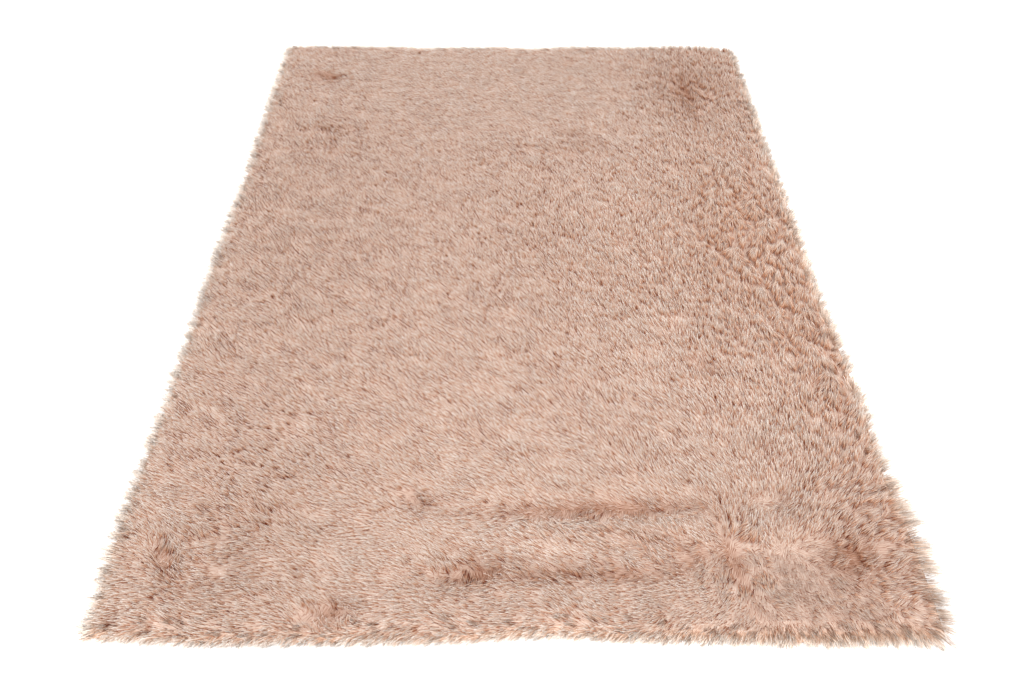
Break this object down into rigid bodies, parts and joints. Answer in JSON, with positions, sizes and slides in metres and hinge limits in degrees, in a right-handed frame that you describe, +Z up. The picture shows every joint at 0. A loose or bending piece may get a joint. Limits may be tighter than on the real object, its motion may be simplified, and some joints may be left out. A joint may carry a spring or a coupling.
{
  "type": "shag rug",
  "caption": "Rectangular long-pile shag rug lying flat: soft lumpy pile brushed one way, ruffled patches and loose locks round its rim, on a thin cloth backing.",
  "frame": {"origin": "middle of the rug's underside, on the floor", "axes": "+Z up out of the pile, +Y along the rug's length towards its far end, +X across its width to the right"},
  "size_m": [1.6853, 2.3435, 0.0468],
  "materials": {
    "pile": "soft long acrylic pile, dusty blush, matt with a faint sheen along the locks",
    "backing_cloth": "plain woven polyester backing, matt greige"
  },
  "bodies": {
    "root": {"backing": "backing_cloth", "pile": "pile"}
  },
  "joints": []
}
